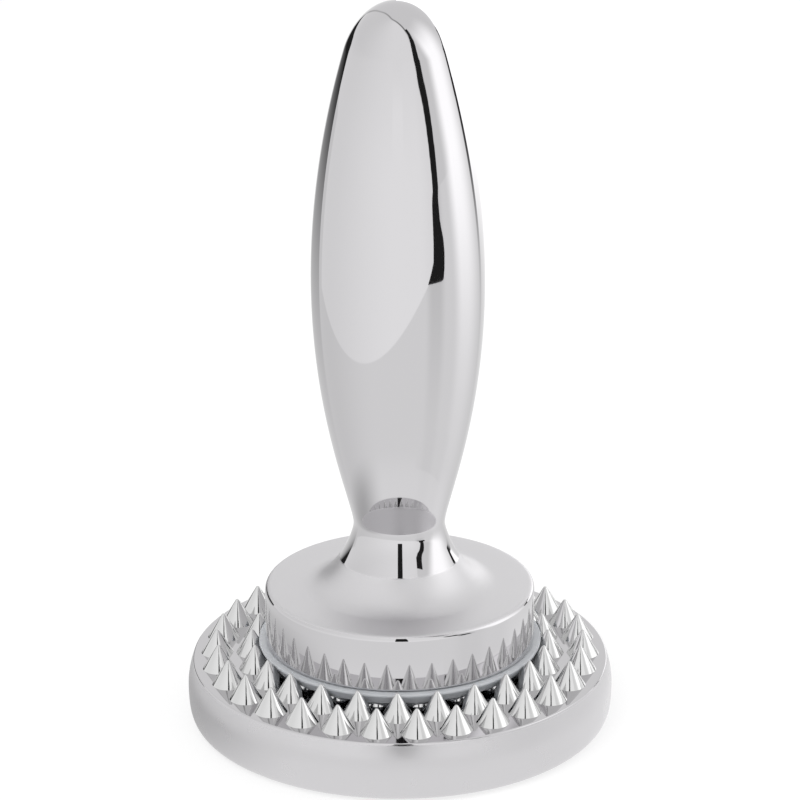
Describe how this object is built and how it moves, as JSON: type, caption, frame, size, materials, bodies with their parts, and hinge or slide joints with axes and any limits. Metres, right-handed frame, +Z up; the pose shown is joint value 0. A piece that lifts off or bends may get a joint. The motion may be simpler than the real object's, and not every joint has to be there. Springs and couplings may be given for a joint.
{
  "type": "meat mallet",
  "caption": "Reversible meat mallet: a polished spindle handle with a cupped hub that screws on to a heavy round disc with a spiked face and a flat face.",
  "frame": {"origin": "centre of the disc's flat face, which the mallet stands on", "axes": "+Z up along the handle, +X to the right and +Y away from the viewer, as the picture shows the mallet"},
  "size_m": [0.0898, 0.0898, 0.1541],
  "materials": {
    "polished_steel": "mirror polished, with a satin top to the hub",
    "grey_silicone": "smooth translucent grey silicone",
    "machined_steel": "machined"
  },
  "bodies": {
    "disc": {"disc": "polished_steel", "thread_insert": "machined_steel"},
    "gasket": {"gasket": "grey_silicone"},
    "handle": {"handle": "polished_steel", "stud": "machined_steel"}
  },
  "joints": [
    {"name": "handle_lift", "type": "slide", "parent": "disc", "child": "gasket", "axis": [0, 0, 1], "range_m": [0, 0.01576]},
    {"name": "handle_turn", "type": "hinge", "parent": "gasket", "child": "handle", "pos_m": [0, 0, 0.013], "axis": [0, 0, 1], "range_deg": [0, 3240]}
  ],
  "couplings": [
    {"joint": "handle_lift", "follows": "handle_turn", "m_per_rad": 0.00027852}
  ]
}
